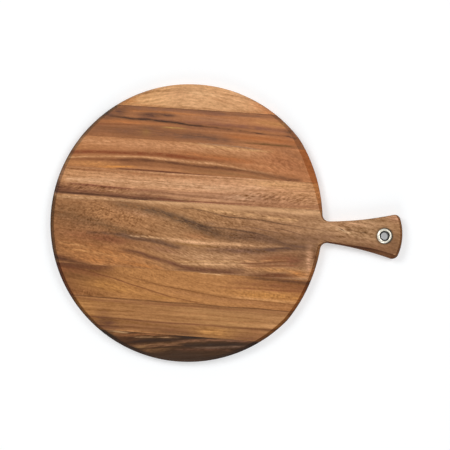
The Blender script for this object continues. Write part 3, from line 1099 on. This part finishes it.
    "stave_6": dict(
        tones=[(-165, (129, 81, 46)), (-120, (153, 102, 58)), (-60, (180, 123, 71)), (60, (182, 125, 74)),
            (160, (172, 114, 66))],
        lean=0.3, fleck_size=(8, 2.0, -8), rim=((0.32, 0.2, 0.05), (0.44, 0.29, 0.09)),
        layers=dict(broad=0.5, lines=0.65, fibre=0.45, fleck=0.8, pepper=0.8),
        flow=[(-160, 14), (-100, 7), (-40, -3), (20, -11), (100, -15), (160, -16)],
        marks=[
            blot((194, 134, 70), -92, -89, 32, 7, 0.6, -0.1),
            blot((150, 96, 55), -126, -99, 20, 4.5, 0.5),
            blot((126, 82, 46), -134, -79, 20, 6, 0.6, -0.1),
            streak((110, 67, 42), 5.2, [(-165, -65, 1.0), (-140, -66, 1.0), (-115, -66, 0.95),
                (-96, -65, 0.6)], fade=10, rag=0.4),
            streak((134, 82, 48), 2.2, [(-154, -71.6, 0.8), (-130, -73.6, 0.8), (-108, -76.4, 0.6)]),
            streak((118, 68, 40), 0.75, [(-155, -67.8, 0.9), (-140, -69, 0.9), (-130, -70.6, 0.9),
                (-115, -73, 0.9), (-100, -76.4, 0.9), (-80, -80.8, 0.9), (-60, -85.4, 0.9),
                (-40, -90.2, 0.85), (-20, -95, 0.8), (0, -98.6, 0.8), (20, -101.6, 0.6)], rag=0.35),
            streak((140, 90, 50), 0.9, [(-84, -71.6, 0.4), (-62, -76, 0.6), (-44, -79.8, 0.7),
                (-30, -82.2, 0.8), (-14, -84.2, 0.9), (2, -86.4, 0.9), (30, -89.8, 0.9), (50, -91.8, 0.9),
                (72, -92.8, 0.9), (100, -93.4, 0.9), (148, -94.4, 0.8)], rag=0.4),
            streak((166, 112, 68), 2.6, [(-14, -89, 0.4), (20, -92.6, 0.6), (60, -96, 0.6), (100, -97, 0.7),
                (140, -97.4, 0.7)]),
            streak((208, 150, 96), 1.2, [(70, -91, 0.6), (100, -91.4, 0.9), (138, -92, 0.8)]),
            blot((202, 140, 76), 112, -86, 44, 4.4, 0.8),
            streak((136, 85, 51), 4.2, [(66, -72, 0.4), (96, -72, 0.75), (126, -72.4, 0.95),
                (156, -73, 1.0)]),
            streak((140, 84, 50), 1.3, [(60, -79, 0.5), (96, -78.6, 0.7), (126, -78, 0.8),
                (152, -77.6, 0.5)]),
            streak((104, 66, 42), 2.6, [(86, -64.6, 0.5), (104, -65, 0.9), (124, -66, 1.0),
                (160, -66.4, 1.0)], rag=0.4),
            streak((214, 164, 114), 0.8, [(26, -63.9, 0.5), (36, -63.8, 0.65), (48, -63.9, 0.4)], fade=8),
            streak((108, 68, 40), 0.8, [(-140, -103.7, 0.9), (0, -103.7, 0.9), (140, -103.7, 0.8)],
                rag=0.4),
            blot((164, 112, 56), -30, -98, 24, 2.4, 0.6),
            ripple(-126, -99, 18, 5, 1.6, (2.4, 7.0), 0),
            ripple(110, -86, 40, 6, 1.2, (2.6, 7.0), 0),
            ripple(-60, -70, 70, 8, 0.9, (1.9, 5.0), 8),
        ]),
    "stave_7": dict(
        tones=[(-145, (180, 125, 72)), (-40, (172, 120, 73)), (60, (174, 124, 76)), (145, (181, 129, 82))],
        lean=0.2, fleck_size=(11, 2.0, 0), rim=((0.28, 0.22, 0.06), (0.36, 0.24, 0.06)),
        layers=dict(broad=1.1, lines=1.1, fibre=0.45, fleck=0.7, pepper=0.5),
        marks=[
            streak((142, 92, 56), 2.0, [(-140, -106.3, 0.8), (0, -106.6, 0.8), (60, -106.4, 0.7),
                (140, -106.3, 0.6)]),
            streak((160, 108, 64), 1.0, [(-100, -116.4, 0.5), (-40, -117, 0.6), (40, -116, 0.6),
                (110, -116.6, 0.4)]),
            streak((160, 108, 64), 1.0, [(-112, -123, 0.5), (-50, -122, 0.5), (30, -122.6, 0.6),
                (100, -122, 0.5)]),
            streak((136, 90, 56), 5.5, [(-110, -138, 0.8), (-60, -138, 0.7), (0, -138, 0.75),
                (40, -139, 0.5), (80, -139.5, 0.75), (110, -139, 0.8)]),
            blot((150, 98, 60), 96, -133, 16, 4, 0.5),
            blot((158, 109, 68), 90, -110.5, 55, 3.4, 0.5),
            streak((122, 76, 47), 1.2, [(-112, -128.4, 0.9), (-80, -128.8, 0.8), (-40, -130, 0.9),
                (-15, -129.8, 1.0), (10, -129, 1.0), (40, -129, 1.0), (80, -129.2, 0.9),
                (116, -128.8, 0.8)], rag=0.4),
            blot((138, 90, 56), -100, -122, 8, 5, 0.5),
            blot((100, 62, 42), -95, -137, 13, 10, 0.85),
            blot((110, 70, 46), -82, -140.5, 14, 2.6, 0.8),
            blot((198, 140, 80), 44, -137, 22, 5, 0.95),
            streak((132, 84, 52), 0.9, [(-70, -138.2, 0.6), (-30, -138.6, 0.8), (4, -139, 0.7)]),
            streak((190, 130, 80), 1.2, [(-70, -143.2, 0.5), (-40, -143.4, 0.7), (-10, -143.2, 0.4)]),
            blot((112, 74, 48), -10, -142, 34, 2.2, 0.8),
            blot((132, 84, 62), 84, -143, 14, 1.3, 0.7),
        ]),
    "stave_8": dict(
        tones=[(-100, (104, 68, 40)), (-80, (94, 60, 36)), (-62, (76, 47, 27)), (-30, (63, 40, 22)),
            (20, (63, 41, 24)), (100, (60, 39, 24))],
        lean=0.3, fleck_size=(9, 1.9, 8), pore=(42, 28, 20), rim=((0.15, 0.09, 0.04), (0.28, 0.16, 0.06)),
        layers=dict(broad=0.7, lines=1.2, fibre=0.6, fleck=0.7, pepper=0.4),
        flow=[(-100, -15), (-40, -5), (0, 0), (60, 6), (100, 9)],
        marks=[
            blot((150, 102, 60), -80, -147, 13, 2.6, 0.5, 0.1),
            blot((222, 176, 126), -76, -145.6, 9, 0.9, 0.9, -0.03),
            blot((60, 42, 24), -88, -151, 12, 3, 0.85, -0.3),
            streak((150, 98, 60), 2.0, [(-72, -149.4, 0.6), (-50, -147, 0.9), (-20, -145.4, 0.8),
                (0, -145.2, 0.4)]),
            streak((168, 126, 88), 0.9, [(-52, -151, 0.6), (-36, -149.4, 0.9), (-20, -148, 0.9),
                (-4, -147, 0.5)], fade=8),
            streak((58, 39, 29), 1.4, [(-62, -157.6, 0.4), (-42, -154.4, 0.9), (-24, -152.2, 1.0),
                (-6, -150.2, 0.9), (20, -146.4, 0.8)], rag=0.5),
            streak((138, 96, 64), 1.4, [(-56, -162, 0.6), (-40, -159.4, 0.8), (-20, -156.4, 0.9),
                (0, -153.6, 0.8), (24, -149.6, 0.5)]),
            blot((192, 150, 98), -47, -162.6, 7, 1.0, 0.9, 0.12),
            streak((126, 86, 58), 1.1, [(-44, -162.6, 0.7), (-24, -159.4, 0.8), (-4, -156.6, 0.6)]),
            streak((112, 78, 58), 1.2, [(0, -151.6, 0.5), (28, -148.6, 0.9), (56, -146.6, 0.8),
                (76, -145.8, 0.6)]),
            streak((108, 72, 52), 1.5, [(6, -162.6, 0.5), (30, -160.4, 0.8), (56, -158.4, 0.6)]),
            streak((52, 39, 32), 2.2, [(16, -156.4, 0.6), (46, -153.4, 0.7), (74, -151, 0.6)], rag=0.6),
            streak((48, 34, 27), 2.0, [(0, -145.6, 0.9), (16, -145.8, 0.9), (36, -145.4, 0.6)]),
            blot((58, 42, 32), 10, -170, 46, 5, 0.6),
            blot((128, 90, 58), -30, -165, 18, 2.4, 0.6, 0.12),
            streak((112, 84, 66), 1.5, [(28, -158.4, 0.5), (56, -155.4, 0.7), (80, -152.4, 0.5)]),
            streak((128, 86, 58), 1.5, [(8, -150.4, 0.4), (34, -147.8, 0.7), (56, -146.4, 0.6)]),
            blot((120, 78, 54), 82, -145.6, 14, 1.3, 0.7, 0.03),
            streak((38, 22, 8), 2.6, [(-98, -145.6, 0.45), (-80, -156, 0.6), (-60, -164.2, 0.75),
                (-40, -171, 0.5), (-20, -174.4, 0.3)], rag=0.3),
        ]),
}

# Material slot of each stave, in the order of the noises' seeds
SLOTS = {
    "stave_1": "wood_tan",
    "stave_2": "wood_brown",
    "stave_3": "wood_russet",
    "stave_4": "wood_sand",
    "handle_stave": "wood_figured",
    "stave_6": "wood_honey",
    "stave_7": "wood_amber",
    "stave_8": "wood_dark",
}
WOODS = {
    name: Wood(slot, seed, FIGURES[name]).material
    for seed, (name, slot) in enumerate(SLOTS.items(), 1)
}

# Tones of the cured glue, of the eyelet's clean and dull plating, and of its grime at foot and throat
GLUE_TONE, GLUE_DARK = (104, 68, 42), (72, 45, 29)
PLATED, DULL = (0.72, 0.69, 0.60, 1), (0.44, 0.41, 0.34, 1)
FOOT_GRIME, THROAT_GRIME = (0.07, 0.065, 0.055, 1), (0.04, 0.039, 0.035, 1)
# Grime at the flange's foot, thicker towards the handle's end: its middle and edge, and the throat's edge
FOOT_GRIME_X, FOOT_GRIME_EDGE, THROAT_EDGE = EYELET_X - 1.3, (8.7, 9.6), (6.8, 6.3)
# Size of the glue's mottle, and of the plating's clouds and scratches, with the scratches' turn
MOTTLE_SIZE, CLOUD_SIZE, SCRATCH_SIZE, SCRATCH_TURN = (6, 1, 2), (2.2, 2.2, 2.2), (4.0, 0.25, 4.0), 35


def glue_finish():
    """Cured brown glue, mottled where it was scraped and sanded with the wood."""
    f = Finish("glue")
    mottle = f.noise(f.place, MOTTLE_SIZE, 3.1)
    colour = f.mix(mottle, rgba(GLUE_TONE), rgba(GLUE_DARK))
    return f.finish(colour, f.between(mottle, 0.3, 0.7, 0.5, 0.65), mottle, 0.02, Specular_IOR_Level=0.25)


def eyelet_finish():
    """Plated sheet: mottled warm silver with fine scratches, dark with grime in the throat and at the
    flange's foot."""
    f = Finish("eyelet_metal")
    cloud = f.noise(f.place, CLOUD_SIZE, 5.3, detail=3.0)
    scratch = f.noise(f.place, SCRATCH_SIZE, 6.1, tilt=SCRATCH_TURN)
    colour = f.mix(f.between(cloud, 0.35, 0.65), PLATED, DULL)
    colour = f.mix(f.between(f.off_axis(FOOT_GRIME_X), *FOOT_GRIME_EDGE, 0.0, 0.92), colour, FOOT_GRIME)
    colour = f.mix(f.between(f.off_axis(GRIME_X), *THROAT_EDGE), colour, THROAT_GRIME)
    rough = f.math("ADD", f.between(cloud, 0.3, 0.7, 0.24, 0.38), f.between(scratch, 0.62, 0.75, 0.0, 0.15))
    return f.finish(colour, rough, scratch, 0.01, Metallic=1.0)


def stave(name, shell):
    """A stave's piece, with its own wood."""
    piece(f"{name}_wood", shell, WOODS[name], name, SLOTS[name])


GLUE = glue_finish()
EYELET = eyelet_finish()

# Pieces
stave("stave_1", rim_stave(seam_face(1, 1), *RIM_STAVE_FACES))
for number in (2, 3, 4, 6, 7):
    stave(f"stave_{number}", four_sided(seam_face(number, 1), seam_face(number - 1, -1), *STAVE_FACES))
stave("handle_stave", handle_stave())
stave("stave_8", rim_stave(seam_face(7, -1), *RIM_STAVE_FACES))
for number in range(1, len(SEAMS) + 1):
    film = four_sided(seam_face(number, -1), seam_face(number, 1), *FILM_FACES)
    piece(f"glue_line_{number}_film", film, GLUE, f"glue_line_{number}", "glue")
piece("eyelet_shell", revolved(eyelet_section()), EYELET, "eyelet_barrel", "eyelet_metal", crease=40)
piece("eyelet_washer_ring", revolved(washer_section()), EYELET, "eyelet_washer", "eyelet_metal", crease=30)

# The room, in metres: the floor's half width, its place just under the board, and where it turns all white
FLOOR_HALF, FLOOR_Z = 4.0, -0.0003
WHITE_FROM, WHITE_TO = 0.4, 1.3
WHITE = (1, 1, 1, 1)
# The faintly cool tone that the lamps light, and the floor's own white near the board and far off, as it is
# seen and as it lights the board
FLOOR_LIT = (0.674, 0.686, 0.696, 1)
OWN_SEEN, OWN_CAST, FAR_SEEN, FAR_CAST = 0.391, 0.6, 1.0, 0.5
# Square lamps as place and watts, their width, and the place that they are aimed at
LAMPS = {
    "far_left": ((-1.02, 0.64, 1.68), 15.7),
    "far_right": ((1.18, 0.44, 1.62), 12.8),
    "near_card": ((0.0, -1.5, 1.0), 7.6),
}
LAMP_SIZE, LAMP_AIM = 0.9, (0.03, 0.0, 0.0)
# The white of the room as it is seen and as it lights the board
ROOM_SEEN, ROOM_CAST = 1.0, 0.29
# The camera's sensor and lens, its place in metres and its turn in degrees
SENSOR, LENS = 36.0, 87.186
CAMERA_PLACE, CAMERA_TURN = (0.131055, -0.059475, 1.4), (2.447, 3.428, 4.03)


def as_seen(nodes):
    """1 for the camera's own rays and for what shiny surfaces show of the room, 0 for light on its way to
    the board."""
    rays = nodes.node("ShaderNodeLightPath").outputs
    seen = nodes.math("MAXIMUM", rays["Is Camera Ray"], rays["Is Glossy Ray"])
    return nodes.math("MAXIMUM", seen, rays["Is Transmission Ray"])


def lay_floor():
    """Pale floor: near the board part of its white is its own and the rest is lit, so that it keeps the
    shadow. Further off it is all its own, so that it runs into the white room. From below it is clear."""
    low, high, z = -FLOOR_HALF, FLOOR_HALF, FLOOR_Z
    mesh = bpy.data.meshes.new("floor")
    mesh.from_pydata([(low, low, z), (high, low, z), (high, high, z), (low, high, z)], [], [(0, 1, 2, 3)])
    floor = bpy.data.objects.new("floor", mesh)
    bpy.context.scene.collection.objects.link(floor)
    material = bpy.data.materials.new("pale_floor")
    nodes = Nodes(material)
    seen = as_seen(nodes)
    own = nodes.shader("Emission", WHITE, nodes.between(seen, 0.0, 1.0, OWN_CAST, OWN_SEEN))
    near = nodes.shader("AddShader", nodes.shader("BsdfDiffuse", FLOOR_LIT), own)
    far = nodes.shader("Emission", WHITE, nodes.between(seen, 0.0, 1.0, FAR_CAST, FAR_SEEN))
    place = nodes.node("ShaderNodeTexCoord").outputs["Object"]
    away = nodes.node("ShaderNodeVectorMath", place, operation="LENGTH").outputs["Value"]
    upper = nodes.shader("MixShader", nodes.between(away, WHITE_FROM, WHITE_TO), near, far)
    below = nodes.node("ShaderNodeNewGeometry").outputs["Backfacing"]
    surface = nodes.shader("MixShader", below, upper, nodes.shader("BsdfTransparent"))
    nodes.node("ShaderNodeOutputMaterial", surface)
    mesh.materials.append(material)


def soft_lamp(name, place, watts):
    """Square soft lamp whose -Z axis is turned from straight down to the aim, first by its tilt and then
    round Z."""
    light = bpy.data.lights.new(name, "AREA")
    light.shape, light.size, light.energy = "SQUARE", LAMP_SIZE, watts
    lamp = bpy.data.objects.new(name, light)
    lamp.location = place
    aim = np.array(LAMP_AIM) - np.array(place)
    lamp.rotation_euler = (math.acos(-aim[2] / np.linalg.norm(aim)), 0, math.atan2(-aim[0], aim[1]))
    bpy.context.scene.collection.objects.link(lamp)


def light_room():
    """A soft lamp beyond the far rim on each side, a weaker one before the near rim, and a white room that
    fills the shade."""
    for name, (place, watts) in LAMPS.items():
        soft_lamp(name, place, watts)
    world = bpy.data.worlds.new("room")
    bpy.context.scene.world = world
    nodes = Nodes(world)
    cast, seen = (nodes.shader("Background", WHITE, strength) for strength in (ROOM_CAST, ROOM_SEEN))
    nodes.node("ShaderNodeOutputWorld", nodes.shader("MixShader", as_seen(nodes), cast, seen))


def set_camera():
    """Camera almost straight above, a little towards the handle and the near rim."""
    lens = bpy.data.cameras.new("overhead")
    lens.sensor_width, lens.lens = SENSOR, LENS
    camera = bpy.data.objects.new("overhead", lens)
    camera.location = CAMERA_PLACE
    camera.rotation_mode = "ZYX"
    camera.rotation_euler = [math.radians(a) for a in CAMERA_TURN]
    bpy.context.scene.collection.objects.link(camera)
    bpy.context.scene.camera = camera


lay_floor()
light_room()
set_camera()
bpy.context.scene.view_settings.view_transform = "Standard"
